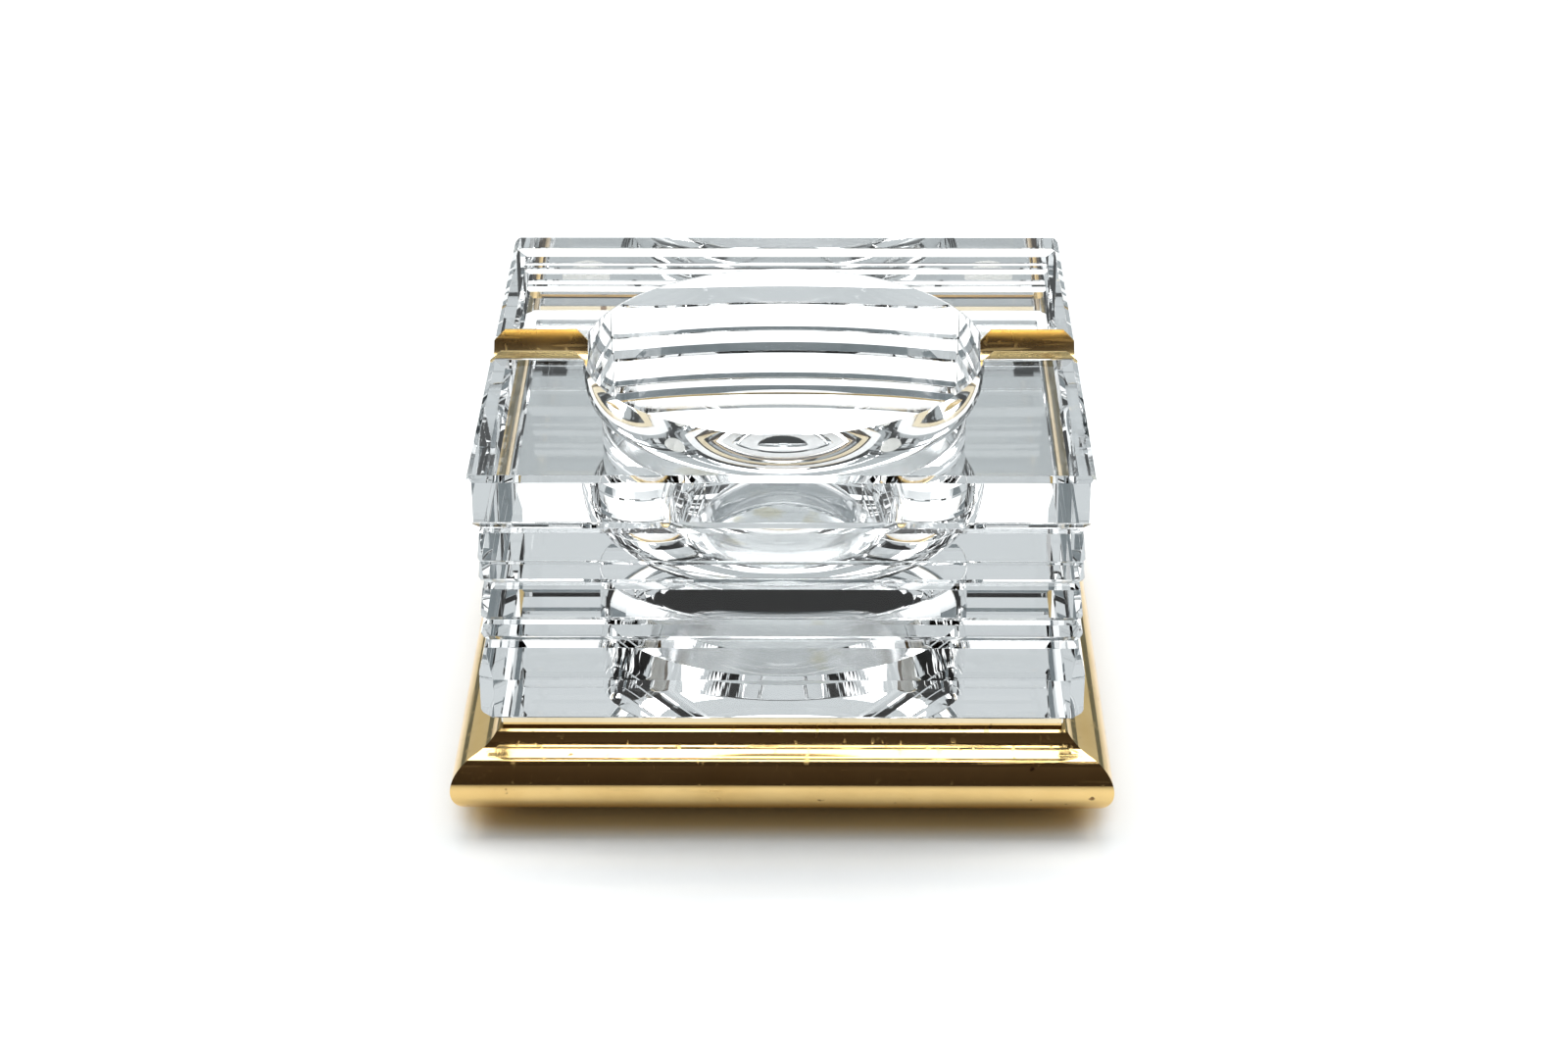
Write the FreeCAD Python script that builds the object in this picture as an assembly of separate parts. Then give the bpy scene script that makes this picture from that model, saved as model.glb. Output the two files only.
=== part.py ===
"""Square cut-crystal desk bowl with two gold-lined rests, standing on a moulded brass plinth.

Units are millimetres.  +Z is up, Z = 0 is the surface the felt stands on, the rests lie along X,
and the origin is the middle of the footprint.  Every solid is written to parts/NODE.step.
"""
import FreeCAD, Part
import math
import os
from FreeCAD import Vector

# ---- heights of the stack, from the table upwards ----
FELT_THICK = 1.5
BOTTOM_PLATE_THICK = 2.0
RAIL_HEIGHT = 15.0
SEAT_PLATE_THICK = 2.6
MIRROR_THICK = 0.5         # bright sheet let into the top of the seat plate
BOND_THICK = 0.2
CRYSTAL_HEIGHT = 48.9

FELT_TOP = FELT_THICK
RAIL_BOTTOM = FELT_TOP + BOTTOM_PLATE_THICK
RAIL_TOP = RAIL_BOTTOM + RAIL_HEIGHT
SEAT_TOP = RAIL_TOP + SEAT_PLATE_THICK
CRYSTAL_BOTTOM = SEAT_TOP + BOND_THICK
CRYSTAL_TOP = CRYSTAL_BOTTOM + CRYSTAL_HEIGHT

# ---- crystal block ----
SLAB_HALF = 55.0           # half the width of the top slab, the widest part of the crystal
TOP_BEVEL = 1.0            # 45 degree bevel round the top edge
FOOT_HALF = 54.6           # half the width of the upright band at the bottom
FOOT_BEVEL = 0.4
SLAB_CORNER_CUT = 1.1      # upright facet on each corner of the slab
BODY_CORNER_CUT = 2.7      # wider upright facet on each corner below the slab
CORNER_CHANGE = 38.0       # height above the crystal's bottom where the two facets meet

# Horizontal V-cuts round all four sides, from the top down.  Each one is its upper edge and its
# lower edge as (half width, height above the crystal's bottom); both flanks slope at 45 degrees.
V_CUTS = [
    ((55.00, 40.2), (53.20, 37.1)),
    ((53.75, 31.9), (53.45, 31.0)),
    ((53.70, 28.2), (53.10, 25.8)),
    ((53.70, 20.5), (53.30, 18.8)),
    ((53.85, 16.7), (53.30, 14.0)),
]
SHOULDER_HEIGHT = 8.1      # where the sloping shoulder meets the upright band

# ---- bowl, and the round hollow cut into the block from below ----
BOWL_RADIUS = 37.8
BOWL_DEPTH = 34.0
BOWL_SQUARENESS = 5.0      # power of the bowl's section: 2 is an ellipse, more is squarer
BOWL_SECTION_STEPS = 14
HOLLOW_RADIUS = 34.6
HOLLOW_HEIGHT = 11.9
HOLLOW_ROUND = 0.5

# ---- gold rests: half tubes let into the top, lips standing proud ----
REST_OUTER_RADIUS = 5.2
REST_WALL = 0.4
REST_INNER_RADIUS = REST_OUTER_RADIUS - REST_WALL
REST_BOND = 0.2
REST_LIP = 1.5             # height of the lips above the crystal's top
REST_AXIS = CRYSTAL_TOP + REST_LIP
REST_INNER_END = 37.2      # reaches just past the bowl's rim
REST_OUTER_END = SLAB_HALF
REST_CORNER_CUT = 2.1      # 45 degree cut on each end of both lips

# ---- brass plinth ----
NOSE_RADIUS = 5.5
NOSE_CENTRE_X = 54.6
NOSE_CENTRE_Z = RAIL_BOTTOM + NOSE_RADIUS
NOSE_TOP_ANGLE = math.radians(75.0)
COVE_TOP = (52.0, RAIL_BOTTOM + 13.6)
COVE_MIDDLE = (53.7, RAIL_BOTTOM + 11.8)
LEDGE = (51.6, RAIL_BOTTOM + 13.95)
NECK_HALF = 50.8
RAIL_INNER_HALF = 44.0
SEAT_HALF = 51.1
SEAT_EDGE_BEVEL = 0.3
MIRROR_HALF = 50.6
BOTTOM_HALF = 51.0
FELT_INSET = 0.5           # how far the felt stays inside the bottom plate's edge
FELT_CORNER_ROUND = 2.0

# ---- screws that hold the bottom plate to the rails ----
SCREW_OFFSET = 47.4
SCREW_RADIUS = 1.5
SCREW_HEAD_RADIUS = 2.9
SCREW_HEAD_HEIGHT = 1.4
SCREW_LENGTH = 9.0
SCREW_SLOT = (0.7, 0.6)    # slot width and depth

# ---- cement spots between crystal and mirror plate ----
SPOT_RADIUS = 5.0
SPOT_OFFSET = 42.0

# ---- how far blanks and cutters run past the shape they make ----
ACROSS = 60.0              # half length of anything that runs right across the crystal
SIDE_CLEARANCE = 8.0       # half width of the cuts at the rests
CORNER_REACH = 10.0

Z_AXIS = Vector(0, 0, 1)
ORIGIN = Vector(0, 0, 0)


def box(x0, y0, z0, x1, y1, z1):
    return Part.makeBox(x1 - x0, y1 - y0, z1 - z0, Vector(x0, y0, z0))


def slab_on(half, z0, z1):
    return box(-half, -half, z0, half, half, z1)


def turned(shape, degrees):
    copy = shape.copy()
    copy.rotate(ORIGIN, Z_AXIS, degrees)
    return copy


def polygon(points):
    return Part.makePolygon(points + [points[0]])


def v_cut_points(upper, lower):
    """Upper edge, root and lower edge of one V-cut with both flanks at 45 degrees."""
    reach = ((upper[1] - lower[1]) - (upper[0] - lower[0])) / 2.0
    root = (lower[0] - reach, lower[1] + reach)
    return [upper, root, lower]


# ---------------------------------------------------------------- crystal

def crystal_side_outline():
    """Right-hand outline of the block from the top middle down to the bottom middle."""
    outline = [(0.0, CRYSTAL_HEIGHT)]
    outline.append((SLAB_HALF - TOP_BEVEL, CRYSTAL_HEIGHT))
    outline.append((SLAB_HALF, CRYSTAL_HEIGHT - TOP_BEVEL))
    for upper, lower in V_CUTS:
        outline += v_cut_points(upper, lower)
    outline.append((FOOT_HALF, SHOULDER_HEIGHT))
    outline.append((FOOT_HALF, FOOT_BEVEL))
    outline.append((FOOT_HALF - FOOT_BEVEL, 0.0))
    outline.append((0.0, 0.0))
    return outline


def crystal_prism():
    """The whole outline, both sides, run straight through along Y."""
    right = crystal_side_outline()
    left = [(-x, z) for x, z in reversed(right[1:-1])]
    points = [Vector(x, -ACROSS, CRYSTAL_BOTTOM + z) for x, z in right + left]
    return Part.Face(polygon(points)).extrude(Vector(0, 2 * ACROSS, 0))


def corner_cutter(half, cut, z0, z1):
    """Wedge that takes one upright 45 degree facet off the corner at +X +Y."""
    far = half + CORNER_REACH
    near = half - cut - CORNER_REACH
    points = [Vector(half - cut, half, z0), Vector(half, half - cut, z0)]
    points += [Vector(far, near, z0), Vector(far, far, z0), Vector(near, far, z0)]
    return Part.Face(polygon(points)).extrude(Vector(0, 0, z1 - z0))


def bowl_section_point(share):
    """Point of the bowl's section: share 0 is the rim, share 1 the middle of the floor."""
    angle = share * math.pi / 2
    power = 2 / BOWL_SQUARENESS
    radius = BOWL_RADIUS * abs(math.cos(angle)) ** power if share < 1 else 0.0
    drop = BOWL_DEPTH * math.sin(angle) ** power
    return Vector(radius, 0, CRYSTAL_TOP - drop)


def bowl_cutter():
    """Round bowl, its section a quarter of a squared-off ellipse."""
    steps = BOWL_SECTION_STEPS
    points = [bowl_section_point(i / steps) for i in range(steps + 1)]
    rim, bottom = points[0], points[-1]
    section = Part.BSplineCurve()
    section.interpolate(Points=points, InitialTangent=Vector(0, 0, -1), FinalTangent=Vector(-1, 0, 0))
    above_rim = Vector(BOWL_RADIUS, 0, CRYSTAL_TOP + 1.0)
    above_middle = Vector(0, 0, CRYSTAL_TOP + 1.0)
    outline = Part.Wire(Part.__sortEdges__([
        Part.makeLine(above_middle, above_rim),
        Part.makeLine(above_rim, rim),
        section.toShape(),
        Part.makeLine(bottom, above_middle),
    ]))
    return Part.Face(outline).revolve(ORIGIN, Z_AXIS, 360)


def hollow_cutter():
    """Upright round hollow under the bowl, its upper edge slightly rounded."""
    start = Vector(0, 0, CRYSTAL_BOTTOM - 1.0)
    hollow = Part.makeCylinder(HOLLOW_RADIUS, HOLLOW_HEIGHT + 1.0, start)
    top = CRYSTAL_BOTTOM + HOLLOW_HEIGHT
    rim = [edge for edge in hollow.Edges if edge.BoundBox.ZMin > top - 0.01]
    return hollow.makeFillet(HOLLOW_ROUND, rim)


def rest_groove(side):
    start = Vector(side * (BOWL_RADIUS - 6.0), 0, REST_AXIS)
    radius = REST_OUTER_RADIUS + REST_BOND
    return Part.makeCylinder(radius, 30.0, start, Vector(side, 0, 0))


def make_crystal():
    prism = crystal_prism()
    block = prism.common(turned(prism, 90))
    change = CRYSTAL_BOTTOM + CORNER_CHANGE
    upper = corner_cutter(SLAB_HALF, SLAB_CORNER_CUT, change, CRYSTAL_TOP + 1)
    lower = corner_cutter(FOOT_HALF, BODY_CORNER_CUT, CRYSTAL_BOTTOM - 1, change)
    for quarter in range(4):
        block = block.cut(turned(upper, 90 * quarter))
        block = block.cut(turned(lower, 90 * quarter))
    block = block.cut(bowl_cutter())
    block = block.cut(hollow_cutter())
    for side in (-1, 1):
        block = block.cut(rest_groove(side))
    return block


# ---------------------------------------------------------------- gold rests

def half_tube(outer, inner, x0, x1):
    """Lower half of a tube along X, its axis at the height of the lips."""
    length = x1 - x0
    start = Vector(x0, 0, REST_AXIS)
    tube = Part.makeCylinder(outer, length, start, Vector(1, 0, 0))
    tube = tube.cut(Part.makeCylinder(inner, length, start, Vector(1, 0, 0)))
    lower = box(x0, -outer, REST_AXIS - outer, x1, outer, REST_AXIS)
    return tube.common(lower)


def lip_corner(x_end, inward):
    """Wedge across both lips at one end, sloping 45 degrees; inward is +1 or -1 along X."""
    reach = REST_CORNER_CUT
    top = REST_AXIS + 1.0
    side = -SIDE_CLEARANCE
    points = [Vector(x_end + inward * (reach + 1.0), side, top)]
    points += [Vector(x_end - inward * 1.0, side, top - reach - 2.0)]
    points += [Vector(x_end - inward * 1.0, side, top)]
    return Part.Face(polygon(points)).extrude(Vector(0, 2 * SIDE_CLEARANCE, 0))


def make_rest_liner(side):
    liner = half_tube(REST_OUTER_RADIUS, REST_INNER_RADIUS, REST_INNER_END, REST_OUTER_END)
    liner = liner.cut(lip_corner(REST_INNER_END, 1))
    liner = liner.cut(lip_corner(REST_OUTER_END, -1))
    return liner if side > 0 else turned(liner, 180)


def make_rest_bond(side):
    """Cement bed between one liner and its groove, kept below the crystal's top."""
    bond = half_tube(REST_OUTER_RADIUS + REST_BOND, REST_OUTER_RADIUS,
                     BOWL_RADIUS + 0.4, SLAB_HALF - TOP_BEVEL)
    below_top = box(0, -SIDE_CLEARANCE, CRYSTAL_TOP - SIDE_CLEARANCE,
                    ACROSS, SIDE_CLEARANCE, CRYSTAL_TOP)
    bond = bond.common(below_top)
    return bond if side > 0 else turned(bond, 180)


# ---------------------------------------------------------------- brass plinth

def rail_outline():
    """Section of one rail: flat bottom, round nose, hollow cove, ledge, neck, upright inside."""
    nose_bottom = Vector(NOSE_CENTRE_X, 0, RAIL_BOTTOM)
    nose_front = Vector(NOSE_CENTRE_X + NOSE_RADIUS, 0, NOSE_CENTRE_Z)
    nose_top = Vector(NOSE_CENTRE_X + NOSE_RADIUS * math.cos(NOSE_TOP_ANGLE), 0,
                      NOSE_CENTRE_Z + NOSE_RADIUS * math.sin(NOSE_TOP_ANGLE))
    cove_middle = Vector(COVE_MIDDLE[0], 0, COVE_MIDDLE[1])
    cove_top = Vector(COVE_TOP[0], 0, COVE_TOP[1])
    ledge = Vector(LEDGE[0], 0, LEDGE[1])
    neck_foot = Vector(NECK_HALF, 0, LEDGE[1])
    neck_top = Vector(NECK_HALF, 0, RAIL_TOP)
    inner_top = Vector(RAIL_INNER_HALF, 0, RAIL_TOP)
    inner_bottom = Vector(RAIL_INNER_HALF, 0, RAIL_BOTTOM)
    edges = [
        Part.makeLine(inner_bottom, nose_bottom),
        Part.Arc(nose_bottom, nose_front, nose_top).toShape(),
        Part.Arc(nose_top, cove_middle, cove_top).toShape(),
        Part.makeLine(cove_top, ledge),
        Part.makeLine(ledge, neck_foot),
        Part.makeLine(neck_foot, neck_top),
        Part.makeLine(neck_top, inner_top),
        Part.makeLine(inner_top, inner_bottom),
    ]
    return Part.Wire(edges)


def make_rail(degrees):
    """Rail along the +X side, mitred at both ends, then turned to its own side."""
    reach = NOSE_CENTRE_X + NOSE_RADIUS + 1.0
    section = Part.Face(rail_outline())
    section.translate(Vector(0, -reach, 0))
    rail = section.extrude(Vector(0, 2 * reach, 0))
    wedge = Part.Face(polygon([ORIGIN, Vector(reach, -reach, 0), Vector(reach, reach, 0)]))
    rail = rail.common(wedge.extrude(Vector(0, 0, RAIL_TOP)))
    hole = Part.makeCylinder(SCREW_RADIUS, SCREW_LENGTH, Vector(SCREW_OFFSET, 0, FELT_TOP))
    rail = rail.cut(hole)
    return turned(rail, degrees)


def make_mirror_plate():
    return slab_on(MIRROR_HALF, SEAT_TOP - MIRROR_THICK, SEAT_TOP)


def make_seat_plate():
    """Brass plate under the crystal, with a shallow pocket for the mirror plate."""
    plate = slab_on(SEAT_HALF, RAIL_TOP, SEAT_TOP)
    upright = [edge for edge in plate.Edges if edge.BoundBox.ZLength > 1.0]
    plate = plate.makeChamfer(SEAT_EDGE_BEVEL, upright)
    rim = [edge for edge in plate.Edges if edge.BoundBox.ZMin > SEAT_TOP - 0.01]
    plate = plate.makeChamfer(SEAT_EDGE_BEVEL, rim)
    return plate.cut(make_mirror_plate())


def make_crystal_bond():
    spots = []
    for x in (-SPOT_OFFSET, SPOT_OFFSET):
        for y in (-SPOT_OFFSET, SPOT_OFFSET):
            spots.append(Part.makeCylinder(SPOT_RADIUS, BOND_THICK, Vector(x, y, SEAT_TOP)))
    return Part.makeCompound(spots)


# ---------------------------------------------------------------- bottom plate, screws, felt

def screw_blank():
    """Countersunk screw without its slot, standing head down on the felt at +X."""
    base = Vector(SCREW_OFFSET, 0, FELT_TOP)
    head = Part.makeCone(SCREW_HEAD_RADIUS, SCREW_RADIUS, SCREW_HEAD_HEIGHT, base)
    shank = Part.makeCylinder(SCREW_RADIUS, SCREW_LENGTH, base)
    return head.fuse(shank)


def make_bottom_plate():
    plate = slab_on(BOTTOM_HALF, FELT_TOP, RAIL_BOTTOM)
    for quarter in range(4):
        plate = plate.cut(turned(screw_blank(), 90 * quarter))
    return plate


def make_plate_screws():
    width, depth = SCREW_SLOT
    past_head = SCREW_HEAD_RADIUS + 1.0
    slot = box(SCREW_OFFSET - past_head, -width / 2, FELT_TOP,
               SCREW_OFFSET + past_head, width / 2, FELT_TOP + depth)
    screw = screw_blank().cut(slot)
    return Part.makeCompound([turned(screw, 90 * quarter) for quarter in range(4)])


def make_felt_pad():
    felt = slab_on(BOTTOM_HALF - FELT_INSET, 0.0, FELT_TOP)
    upright = [edge for edge in felt.Edges if edge.BoundBox.ZLength > 1.0]
    return felt.makeFillet(FELT_CORNER_ROUND, upright)


NODES = {
    "crystal_block": make_crystal(),
    "rest_liner_left": make_rest_liner(-1),
    "rest_liner_right": make_rest_liner(1),
    "rest_bond_left": make_rest_bond(-1),
    "rest_bond_right": make_rest_bond(1),
    "crystal_bond": make_crystal_bond(),
    "mirror_plate": make_mirror_plate(),
    "seat_plate": make_seat_plate(),
    "plinth_rail_right": make_rail(0),
    "plinth_rail_back": make_rail(90),
    "plinth_rail_left": make_rail(180),
    "plinth_rail_front": make_rail(270),
    "bottom_plate": make_bottom_plate(),
    "plate_screws": make_plate_screws(),
    "felt_pad": make_felt_pad(),
}

os.makedirs("parts", exist_ok=True)
for name, shape in NODES.items():
    shape.exportStep("parts/" + name + ".step")
    bounds = shape.BoundBox
    print(name, "solids", len(shape.Solids), "valid", shape.isValid(),
          "volume %.1f" % shape.Volume,
          "z %.2f..%.2f" % (bounds.ZMin, bounds.ZMax))
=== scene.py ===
"""Looks of the cut-crystal desk bowl: clear crystal on a polished brass plinth, in a pale studio.

Blender works in metres.  The crystal is rebuilt from the boxes of the CAD nodes it stands for; the
other CAD pieces keep their own meshes.
"""
import math

import bpy
import bmesh
from mathutils import Matrix, Vector


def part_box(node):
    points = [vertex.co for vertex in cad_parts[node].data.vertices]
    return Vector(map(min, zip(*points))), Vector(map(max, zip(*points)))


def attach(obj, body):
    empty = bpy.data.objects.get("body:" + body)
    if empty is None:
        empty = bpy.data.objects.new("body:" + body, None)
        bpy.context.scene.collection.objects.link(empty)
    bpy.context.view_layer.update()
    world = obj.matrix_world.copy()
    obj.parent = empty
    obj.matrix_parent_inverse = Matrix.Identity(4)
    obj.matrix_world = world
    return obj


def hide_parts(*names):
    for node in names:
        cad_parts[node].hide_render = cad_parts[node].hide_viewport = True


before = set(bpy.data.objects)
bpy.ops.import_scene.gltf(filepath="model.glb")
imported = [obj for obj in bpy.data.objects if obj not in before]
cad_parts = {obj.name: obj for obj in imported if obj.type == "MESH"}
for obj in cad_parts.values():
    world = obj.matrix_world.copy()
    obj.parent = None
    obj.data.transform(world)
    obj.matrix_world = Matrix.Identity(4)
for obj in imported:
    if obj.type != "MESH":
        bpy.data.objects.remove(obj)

MM = 0.001

# ---- driving sizes of the crystal, in mm, measured from its own bottom or top ----
BEVEL = 0.12                # tiny polished rounding left on every cut edge
TOP_BEVEL = 1.0
FOOT_HALF = 54.6
FOOT_BEVEL = 0.4
SHOULDER_HEIGHT = 8.1
SLAB_CORNER_CUT = 1.1
BODY_CORNER_CUT = 2.7
CORNER_CHANGE = 38.0
V_CUTS = [
    ((55.00, 40.2), (53.20, 37.1)),
    ((53.75, 31.9), (53.45, 31.0)),
    ((53.70, 28.2), (53.10, 25.8)),
    ((53.70, 20.5), (53.30, 18.8)),
    ((53.85, 16.7), (53.30, 14.0)),
]
BOWL_RADIUS = 37.8
BOWL_DEPTH = 34.0
BOWL_SQUARENESS = 5.0       # power of the bowl's section: 2 is an ellipse, more is squarer
BOWL_RIM_ROUND = 0.15
HOLLOW_RADIUS = 34.6        # round hollow cut into the block from below
HOLLOW_HEIGHT = 11.9
HOLLOW_ROUND = 0.5
OPTICAL_GAP = 0.02          # air left under the crystal, so its bottom face mirrors
ACROSS = 60.0               # half length of the bar that cuts both rest grooves

# ---- how finely round shapes are drawn ----
ROUNDING_STEPS = 6
SECTION_STEPS = 120
TURN_STEPS = 256
GROOVE_STEPS = 128

# ---- studio, in metres ----
FLOOR_HALF = 3.0
SOFTBOX_PLACE = (0.0, 0.40, 1.25)
SOFTBOX_SIZE = (3.0, 0.7)
SOFTBOX_POWER = 30.0
SURROUND = (0.60, 0.64, 0.655)
CARD_WIDTH = 3.4
FRONT_DARK = (0.030, 0.018, 0.012)
STRIP_GREY = (0.17, 0.20, 0.215)

# ---- camera: place and target in mm, roll in degrees, lens and sensor in mm ----
CAMERA_PLACE = (6.35, -576.09, 330.55)
CAMERA_TARGET = (-0.08, 0.0, 33.01)
CAMERA_ROLL = -0.212
CAMERA_LENS = 76.94
CAMERA_SENSOR = 36.0

# ---- colours shared by more than one material ----
SILVER = (0.80, 0.81, 0.81)
PLINTH_BRIGHT = (0.88, 0.62, 0.26)
PLINTH_DULL = (0.77, 0.51, 0.19)
PLINTH_TARNISH = (0.25, 0.14, 0.06)

CRYSTAL_LOW, CRYSTAL_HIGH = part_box("crystal_block")
SLAB_HALF = CRYSTAL_HIGH.x / MM
CRYSTAL_HEIGHT = (CRYSTAL_HIGH.z - CRYSTAL_LOW.z) / MM
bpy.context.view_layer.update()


# ---------------------------------------------------------------- mesh helpers

def link(name, mesh):
    piece = bpy.data.objects.new(name, mesh)
    bpy.context.scene.collection.objects.link(piece)
    return piece


def mesh_from(name, points, faces, smooth=False):
    """New object from points in millimetres."""
    mesh = bpy.data.meshes.new(name)
    mesh.from_pydata([Vector(p) * MM for p in points], [], faces)
    mesh.validate()
    shell = bmesh.new()
    shell.from_mesh(mesh)
    bmesh.ops.remove_doubles(shell, verts=shell.verts, dist=1e-7)
    bmesh.ops.dissolve_degenerate(shell, edges=shell.edges, dist=1e-7)
    bmesh.ops.recalc_face_normals(shell, faces=shell.faces)
    shell.to_mesh(mesh)
    shell.free()
    mesh.polygons.foreach_set("use_smooth", [smooth] * len(mesh.polygons))
    return link(name, mesh)


def apply_modifiers(piece):
    """Replaces the piece's mesh by what its modifiers make of it."""
    shown = piece.evaluated_get(bpy.context.evaluated_depsgraph_get())
    made = bpy.data.meshes.new_from_object(shown)
    piece.modifiers.clear()
    piece.data = made


def add_bevel(piece, width, segments=2, angle=15):
    bevel = piece.modifiers.new("edge rounding", "BEVEL")
    bevel.width = width * MM
    bevel.segments = segments
    bevel.limit_method = "ANGLE"
    bevel.angle_limit = math.radians(angle)


def cut_away(piece, cutter):
    cut = piece.modifiers.new("cut", "BOOLEAN")
    cut.operation = "DIFFERENCE"
    cut.solver = "EXACT"
    cut.object = cutter
    apply_modifiers(piece)
    bpy.data.objects.remove(cutter)


# ---------------------------------------------------------------- crystal

def v_cut_points(upper, lower):
    """Upper edge, root and lower edge of one V-cut with both flanks at 45 degrees."""
    reach = ((upper[1] - lower[1]) - (upper[0] - lower[0])) / 2.0
    return [upper, (lower[0] - reach, lower[1] + reach), lower]


def crystal_outline():
    """Half width and height of the block's side, from the top edge down."""
    outline = [(SLAB_HALF - TOP_BEVEL, CRYSTAL_HEIGHT), (SLAB_HALF, CRYSTAL_HEIGHT - TOP_BEVEL)]
    for upper, lower in V_CUTS:
        outline += v_cut_points(upper, lower)
    outline.append((FOOT_HALF, SHOULDER_HEIGHT))
    outline.append((FOOT_HALF, FOOT_BEVEL))
    outline.append((FOOT_HALF - FOOT_BEVEL, 0.0))
    return outline


def facet_sum(height):
    """x + y on the upright corner facet at this height."""
    if height > CORNER_CHANGE:
        return 2 * SLAB_HALF - SLAB_CORNER_CUT
    return 2 * FOOT_HALF - BODY_CORNER_CUT


def with_facet_starts(outline):
    """Adds the points where the upright corner facets run out into the V-cuts."""
    points = [outline[0]]
    for (half_a, z_a), (half_b, z_b) in zip(outline, outline[1:]):
        start = facet_sum((z_a + z_b) / 2) / 2
        if (half_a - start) * (half_b - start) < 0:
            share = (start - half_a) / (half_b - half_a)
            points.append((start, z_a + share * (z_b - z_a)))
        points.append((half_b, z_b))
    return points


def corner_ring(half, height, bottom):
    """Eight points round the block at one height; pairs meet where a corner has no facet."""
    cut = max(0.0, 2 * half - facet_sum(height))
    ring = []
    for quarter in range(4):
        turn = Matrix.Rotation(quarter * math.pi / 2, 3, "Z")
        ring.append(turn @ Vector((half, -half + cut, bottom + height)))
        ring.append(turn @ Vector((half, half - cut, bottom + height)))
    return ring


def crystal_shell():
    bottom = CRYSTAL_LOW.z / MM + OPTICAL_GAP
    points, faces = [], []
    for half, height in with_facet_starts(crystal_outline()):
        points += corner_ring(half, height - OPTICAL_GAP * height / CRYSTAL_HEIGHT, bottom)
    rings = len(points) // 8
    for ring in range(rings - 1):
        for i in range(8):
            a = ring * 8 + i
            b = ring * 8 + (i + 1) % 8
            faces.append((a, b, b + 8, a + 8))
    faces.append(tuple(range(8)))
    faces.append(tuple(range(rings * 8 - 8, rings * 8)))
    return mesh_from("crystal", points, faces)


def bowl_profile():
    """Radius and depth below the crystal's top, from above the rim down to the bowl's middle."""
    profile = [(BOWL_RADIUS + 1.0 + BOWL_RIM_ROUND, -1.0)]
    for i in range(ROUNDING_STEPS + 1):
        angle = math.pi / 2 * i / ROUNDING_STEPS
        profile.append((BOWL_RADIUS + BOWL_RIM_ROUND * (1 - math.sin(angle)),
                        BOWL_RIM_ROUND * (1 - math.cos(angle))))
    power = 2 / BOWL_SQUARENESS
    for i in range(1, SECTION_STEPS):
        angle = math.pi / 2 * i / SECTION_STEPS
        profile.append((BOWL_RADIUS * math.cos(angle) ** power, BOWL_DEPTH * math.sin(angle) ** power))
    profile.append((0.0, BOWL_DEPTH))
    return profile


def hollow_profile():
    """Radius and height above the crystal's bottom, from below the block up to the middle."""
    profile = [(HOLLOW_RADIUS, -1.0)]
    for i in range(ROUNDING_STEPS + 1):
        angle = math.pi / 2 * i / ROUNDING_STEPS
        profile.append((HOLLOW_RADIUS - HOLLOW_ROUND * (1 - math.cos(angle)),
                        HOLLOW_HEIGHT - HOLLOW_ROUND * (1 - math.sin(angle))))
    profile.append((0.0, HOLLOW_HEIGHT))
    return profile


def revolved(name, profile, top):
    """Closed solid turned from (radius, depth) pairs that end on the axis."""
    points, faces = [], []
    turns = TURN_STEPS
    for radius, depth in profile[:-1]:
        for i in range(turns):
            angle = 2 * math.pi * i / turns
            points.append((radius * math.cos(angle), radius * math.sin(angle), top - depth))
    rings = len(profile) - 1
    for ring in range(rings - 1):
        for i in range(turns):
            a = ring * turns + i
            b = ring * turns + (i + 1) % turns
            faces.append((a, b, b + turns, a + turns))
    tip = len(points)
    points.append((0, 0, top - profile[-1][1]))
    last = (rings - 1) * turns
    for i in range(turns):
        faces.append((last + i, last + (i + 1) % turns, tip))
    faces.append(tuple(range(turns)))
    return mesh_from(name, points, faces, smooth=True)


def groove_cutter():
    """Round bar right across the block, as wide as the two rest grooves."""
    bond_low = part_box("rest_bond_right")[0]
    liner_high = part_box("rest_liner_right")[1]
    axis = liner_high.z / MM
    radius = axis - bond_low.z / MM
    points, faces = [], []
    turns = GROOVE_STEPS
    for x in (-ACROSS, ACROSS):
        for i in range(turns):
            angle = 2 * math.pi * i / turns
            points.append((x, radius * math.cos(angle), axis + radius * math.sin(angle)))
    for i in range(turns):
        faces.append((i, (i + 1) % turns, (i + 1) % turns + turns, i + turns))
    faces.append(tuple(range(turns)))
    faces.append(tuple(range(turns, 2 * turns)))
    return mesh_from("groove cutter", points, faces, smooth=True)


def build_crystal():
    crystal = crystal_shell()
    add_bevel(crystal, BEVEL)
    apply_modifiers(crystal)
    cut_away(crystal, revolved("bowl cutter", bowl_profile(), CRYSTAL_HIGH.z / MM))
    hollow = [(radius, -height) for radius, height in hollow_profile()]
    cut_away(crystal, revolved("hollow cutter", hollow, CRYSTAL_LOW.z / MM))
    cut_away(crystal, groove_cutter())
    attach(crystal, "root")
    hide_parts("crystal_block")
    return crystal


# ---------------------------------------------------------------- materials

def new_material(name, color, roughness, metallic=0.0):
    material = bpy.data.materials.new(name)
    material.use_nodes = True
    shader = material.node_tree.nodes["Principled BSDF"]
    shader.inputs["Base Color"].default_value = (*color, 1)
    shader.inputs["Roughness"].default_value = roughness
    shader.inputs["Metallic"].default_value = metallic
    return material, shader


def give(piece, material):
    piece.data.materials.clear()
    piece.data.materials.append(material)


def link_value(material, value, shader, socket):
    material.node_tree.links.new(value, shader.inputs[socket])


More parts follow.
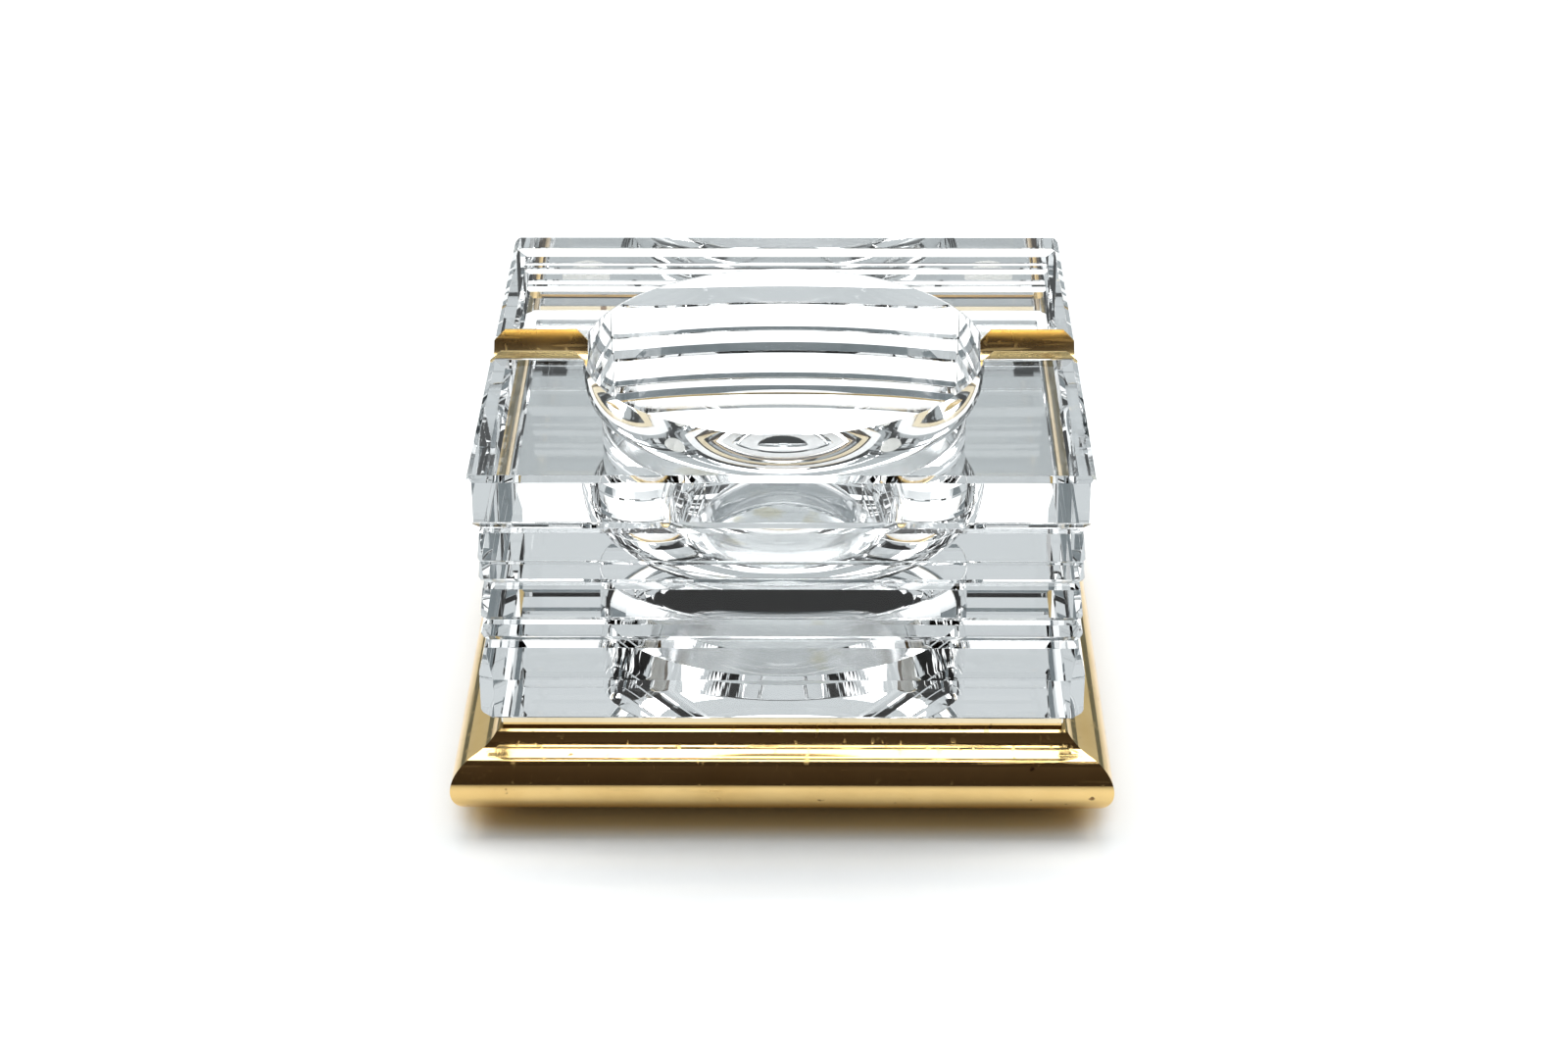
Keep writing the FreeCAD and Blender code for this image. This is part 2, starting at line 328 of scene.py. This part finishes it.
def noise(material, per_metre, stretch=(1, 1, 1), detail=3.0, distortion=0.0):
    """Noise fixed to the piece; stretch below 1 draws it out along that axis."""
    tree = material.node_tree
    place = tree.nodes.new("ShaderNodeTexCoord")
    scale = tree.nodes.new("ShaderNodeMapping")
    scale.inputs["Scale"].default_value = stretch
    cloud = tree.nodes.new("ShaderNodeTexNoise")
    cloud.inputs["Scale"].default_value = per_metre
    cloud.inputs["Detail"].default_value = detail
    cloud.inputs["Distortion"].default_value = distortion
    tree.links.new(place.outputs["Object"], scale.inputs["Vector"])
    tree.links.new(scale.outputs["Vector"], cloud.inputs["Vector"])
    return cloud.outputs["Fac"]


def ramp(material, value, low, high, to_low=0.0, to_high=1.0):
    """Value between low and high becomes to_low to to_high, clamped."""
    node = material.node_tree.nodes.new("ShaderNodeMapRange")
    node.inputs["From Min"].default_value = low
    node.inputs["From Max"].default_value = high
    node.inputs["To Min"].default_value = to_low
    node.inputs["To Max"].default_value = to_high
    material.node_tree.links.new(value, node.inputs["Value"])
    return node.outputs["Result"]


def combined(material, operation, first, second):
    """Two values joined by a maths node: ADD or MAXIMUM."""
    node = material.node_tree.nodes.new("ShaderNodeMath")
    node.operation = operation
    material.node_tree.links.new(first, node.inputs[0])
    material.node_tree.links.new(second, node.inputs[1])
    return node.outputs["Value"]


def greater(material, first, second):
    return combined(material, "MAXIMUM", first, second)


def added(material, first, second):
    return combined(material, "ADD", first, second)


def mixed(material, share, first, second):
    """Blend of two colours, either of them a plain colour or another node's colour."""
    node = material.node_tree.nodes.new("ShaderNodeMix")
    node.data_type = "RGBA"
    material.node_tree.links.new(share, node.inputs["Factor"])
    for socket, color in (("A", first), ("B", second)):
        target = [entry for entry in node.inputs if entry.name == socket and entry.type == "RGBA"][0]
        if isinstance(color, tuple):
            target.default_value = (*color, 1)
        else:
            material.node_tree.links.new(color, target)
    return [entry for entry in node.outputs if entry.type == "RGBA"][0]


def raise_surface(material, shader, height, depth_mm):
    bump = material.node_tree.nodes.new("ShaderNodeBump")
    bump.inputs["Strength"].default_value = 1.0
    bump.inputs["Distance"].default_value = depth_mm * MM
    material.node_tree.links.new(height, bump.inputs["Height"])
    material.node_tree.links.new(bump.outputs["Normal"], shader.inputs["Normal"])


def scratches(material, per_metre=900.0):
    """Thin lines running both ways across the piece, 1 on a line and 0 between."""
    masks = []
    for stretch in ((0.05, 1.0, 1.0), (1.0, 0.05, 1.0)):
        cloud = noise(material, per_metre, stretch, detail=1.0)
        masks.append(ramp(material, cloud, 0.67, 0.70))
    return greater(material, masks[0], masks[1])


def crystal_material():
    """Clear polished crystal: faint wiping marks and hairlines, a trace of blue grey."""
    material, shader = new_material("crystal", (0.985, 0.993, 0.997), 0.0)
    shader.inputs["Transmission Weight"].default_value = 1.0
    shader.inputs["IOR"].default_value = 1.5
    wiped = ramp(material, noise(material, 45.0, detail=4.0), 0.50, 0.75, 0.0, 0.018)
    hairlines = ramp(material, scratches(material, 1300.0), 0.0, 1.0, 0.0, 0.03)
    link_value(material, added(material, wiped, hairlines), shader, "Roughness")
    return material


def worn_gold(name, bright, dull, roughness, tarnish):
    """Polished gold-coloured metal: uneven polish, fine scratches and a few brown spots."""
    material, shader = new_material(name, bright, roughness, metallic=1.0)
    lines = scratches(material)
    clouds = noise(material, 70.0, detail=5.0)
    color = mixed(material, ramp(material, clouds, 0.40, 0.75), bright, dull)
    spots = ramp(material, noise(material, 330.0, detail=2.0), 0.72, 0.76)
    color = mixed(material, spots, color, tarnish)
    link_value(material, color, shader, "Base Color")
    polish = ramp(material, clouds, 0.35, 0.75, roughness * 0.7, roughness * 1.9)
    marks = ramp(material, greater(material, lines, spots), 0.0, 1.0, 0.0, 0.16)
    link_value(material, added(material, polish, marks), shader, "Roughness")
    raise_surface(material, shader, ramp(material, lines, 0.0, 1.0, 1.0, 0.0), 0.004)
    return material


def inside_radius(material, radius_mm):
    """1 within this distance of the object's upright axis, 0 outside it."""
    tree = material.node_tree
    place = tree.nodes.new("ShaderNodeTexCoord")
    level = tree.nodes.new("ShaderNodeMapping")
    level.inputs["Scale"].default_value = (1, 1, 0)
    distance = tree.nodes.new("ShaderNodeVectorMath")
    distance.operation = "LENGTH"
    tree.links.new(place.outputs["Object"], level.inputs["Vector"])
    tree.links.new(level.outputs["Vector"], distance.inputs[0])
    edge = radius_mm * MM
    return ramp(material, distance.outputs["Value"], edge * 0.98, edge, 1.0, 0.0)


def inside_square(material, half_mm):
    """1 where both X and Y are within this distance of the object's upright axis."""
    tree = material.node_tree
    place = tree.nodes.new("ShaderNodeTexCoord")
    size = tree.nodes.new("ShaderNodeVectorMath")
    size.operation = "ABSOLUTE"
    parts = tree.nodes.new("ShaderNodeSeparateXYZ")
    tree.links.new(place.outputs["Object"], size.inputs[0])
    tree.links.new(size.outputs["Vector"], parts.inputs["Vector"])
    reach = greater(material, parts.outputs["X"], parts.outputs["Y"])
    edge = half_mm * MM
    return ramp(material, reach, edge - 0.05 * MM, edge, 1.0, 0.0)


def seat_material():
    """Pale brass on its upright edge, silvered on top under the block."""
    material = worn_gold("seat plate", (0.86, 0.74, 0.52), (0.76, 0.64, 0.43), 0.07, PLINTH_TARNISH)
    shader = material.node_tree.nodes["Principled BSDF"]
    brass = shader.inputs["Base Color"].links[0].from_socket
    seat_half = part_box("seat_plate")[1].x / MM
    covered = inside_square(material, seat_half - 0.02)
    link_value(material, mixed(material, covered, brass, SILVER), shader, "Base Color")
    return material


def mirror_material():
    """Bright silvered sheet; under the hollow it is dulled, stained and streaked."""
    material, shader = new_material("mirror sheet", SILVER, 0.03, metallic=1.0)
    hollow = inside_radius(material, HOLLOW_RADIUS)
    stains = ramp(material, noise(material, 55.0, detail=5.0), 0.58, 0.66)
    streaks = ramp(material, noise(material, 90.0, (0.25, 1.0, 1.0), detail=4.0), 0.60, 0.68)
    color = mixed(material, stains, SILVER, (0.72, 0.68, 0.52))
    color = mixed(material, streaks, color, (0.58, 0.59, 0.60))
    link_value(material, mixed(material, hollow, SILVER, color), shader, "Base Color")
    faint_haze = ramp(material, noise(material, 35.0, detail=3.0), 0.4, 0.7, 0.02, 0.06)
    dulled = ramp(material, hollow, 0.0, 1.0, 0.0, 0.22)
    link_value(material, added(material, faint_haze, dulled), shader, "Roughness")
    return material


def cement_material():
    """Thin clear cement with small bubbles."""
    clear, bubble = (0.88, 0.87, 0.82), (0.96, 0.96, 0.94)
    material, shader = new_material("cement", clear, 0.3)
    bubbles = ramp(material, noise(material, 1500.0, detail=1.0), 0.62, 0.70)
    link_value(material, mixed(material, bubbles, clear, bubble), shader, "Base Color")
    link_value(material, ramp(material, bubbles, 0.0, 1.0, 0.25, 0.5), shader, "Roughness")
    return material


def steel_material(name, bright, dull, stretch):
    """Plain steel with rolling lines along X and scattered dull marks."""
    material, shader = new_material(name, bright, 0.35, metallic=1.0)
    grain = noise(material, 1200.0, stretch, detail=3.0)
    marks = ramp(material, noise(material, 160.0, detail=4.0), 0.55, 0.70)
    link_value(material, mixed(material, marks, bright, dull), shader, "Base Color")
    link_value(material, ramp(material, grain, 0.3, 0.7, 0.28, 0.50), shader, "Roughness")
    raise_surface(material, shader, grain, 0.003)
    return material


def felt_material():
    """Dark brown felt: matted fibres with lint and rubbed patches."""
    dark, rubbed = (0.030, 0.020, 0.015), (0.075, 0.055, 0.042)
    material, shader = new_material("felt", dark, 0.95)
    fibres = noise(material, 2600.0, (0.4, 1.0, 1.0), detail=6.0, distortion=1.5)
    color = mixed(material, ramp(material, fibres, 0.45, 0.65), dark, rubbed)
    lint = ramp(material, noise(material, 700.0, detail=2.0), 0.74, 0.77)
    link_value(material, mixed(material, lint, color, (0.30, 0.28, 0.25)), shader, "Base Color")
    link_value(material, ramp(material, fibres, 0.3, 0.7, 0.85, 1.0), shader, "Roughness")
    raise_surface(material, shader, fibres, 0.15)
    return material


# ---------------------------------------------------------------- studio

def add_plane(name, center, size, tilt_degrees=0.0):
    """Flat sheet; tilt 0 lies level, 90 stands upright across Y."""
    mesh = bpy.data.meshes.new(name)
    w, h = size[0] / 2, size[1] / 2
    mesh.from_pydata([(-w, -h, 0), (w, -h, 0), (w, h, 0), (-w, h, 0)], [], [(0, 1, 2, 3)])
    plane = link(name, mesh)
    plane.location = center
    plane.rotation_euler = (math.radians(tilt_degrees), 0, 0)
    return plane


def add_dark_card(name, center, size, tilt_degrees, shade):
    """Card that shows in reflections and through the crystal, but casts no shadow."""
    card = add_plane(name, center, size, tilt_degrees)
    give(card, new_material(name, shade, 0.9)[0])
    card.visible_camera = False
    card.visible_shadow = False
    card.visible_diffuse = False
    return card


def floor_material():
    """Pale polished board; beside the plinth its colour is painted warm brown where ambient occlusion
    finds it hemmed in: painted shade with painted brass bounce light.
    """
    # painted shade: the second colour is a warm brown painted onto the floor for the shadow and brass
    # bounce light right beside the plinth
    pale, painted_bounce_shade = (0.93, 0.93, 0.93), (0.58, 0.43, 0.21)
    material, shader = new_material("studio floor", pale, 0.12)
    shade = material.node_tree.nodes.new("ShaderNodeAmbientOcclusion")
    shade.inputs["Distance"].default_value = 0.03
    openness = ramp(material, shade.outputs["AO"], 0.30, 0.60)
    # painted shade: occluded floor gets the painted warm brown, open floor stays pale
    link_value(material, mixed(material, openness, painted_bounce_shade, pale), shader, "Base Color")
    uneven = noise(material, 12.0, detail=3.0)
    link_value(material, ramp(material, uneven, 0.3, 0.7, 0.10, 0.16), shader, "Roughness")
    return material


def add_studio():
    floor = add_plane("studio_floor", (0, 0, 0), (2 * FLOOR_HALF, 2 * FLOOR_HALF))
    give(floor, floor_material())
    low = add_dark_card("front_card_low", (0, -0.62, 0.45), (CARD_WIDTH, 1.1), 60, FRONT_DARK)
    high = add_dark_card("front_card_high", (0, -0.30, 1.05), (CARD_WIDTH, 0.7), 20, FRONT_DARK)
    for card in (low, high):
        card.visible_transmission = False
    add_dark_card("back_strip", (0, 0.21, 0.031), (0.8, 0.062), 90, STRIP_GREY)
    add_softbox()
    add_surround()


def add_softbox():
    light = bpy.data.lights.new("softbox", "AREA")
    light.shape = "RECTANGLE"
    light.size, light.size_y = SOFTBOX_SIZE
    light.energy = SOFTBOX_POWER
    lamp = bpy.data.objects.new("softbox", light)
    lamp.location = SOFTBOX_PLACE
    bpy.context.scene.collection.objects.link(lamp)


def add_surround():
    """Even pale grey all round, shown without any film curve."""
    world = bpy.data.worlds.new("studio")
    world.use_nodes = True
    world.node_tree.nodes["Background"].inputs["Color"].default_value = (*SURROUND, 1)
    bpy.context.scene.world = world
    bpy.context.scene.view_settings.view_transform = "Standard"


def add_camera():
    """Looks slightly down on the object's front, a little from its right."""
    place = Vector(CAMERA_PLACE) * MM
    target = Vector(CAMERA_TARGET) * MM
    roll = math.radians(CAMERA_ROLL)
    data = bpy.data.cameras.new("camera")
    data.sensor_width = CAMERA_SENSOR
    data.lens = CAMERA_LENS
    camera = bpy.data.objects.new("camera", data)
    look = (target - place).to_track_quat("-Z", "Y").to_matrix()
    camera.matrix_world = Matrix.Translation(place) @ (look @ Matrix.Rotation(roll, 3, "Z")).to_4x4()
    bpy.context.scene.collection.objects.link(camera)
    bpy.context.scene.camera = camera


RAIL_NODES = ["plinth_rail_front", "plinth_rail_back", "plinth_rail_left", "plinth_rail_right"]
LOOKS = [
    (worn_gold("rest gold", (0.90, 0.68, 0.32), (0.80, 0.57, 0.25), 0.22, (0.22, 0.12, 0.05)),
     ["rest_liner_left", "rest_liner_right"]),
    (worn_gold("plinth brass", PLINTH_BRIGHT, PLINTH_DULL, 0.07, PLINTH_TARNISH), RAIL_NODES),
    (seat_material(), ["seat_plate"]),
    (mirror_material(), ["mirror_plate"]),
    (cement_material(), ["rest_bond_left", "rest_bond_right", "crystal_bond"]),
    (steel_material("plate steel", (0.50, 0.49, 0.47), (0.30, 0.27, 0.23), (0.06, 1.0, 1.0)),
     ["bottom_plate"]),
    (steel_material("screw zinc", (0.62, 0.61, 0.58), (0.42, 0.41, 0.40), (1.0, 1.0, 1.0)),
     ["plate_screws"]),
    (felt_material(), ["felt_pad"]),
]

give(build_crystal(), crystal_material())
for material, names in LOOKS:
    for name in names:
        give(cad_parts[name], material)
add_studio()
add_camera()
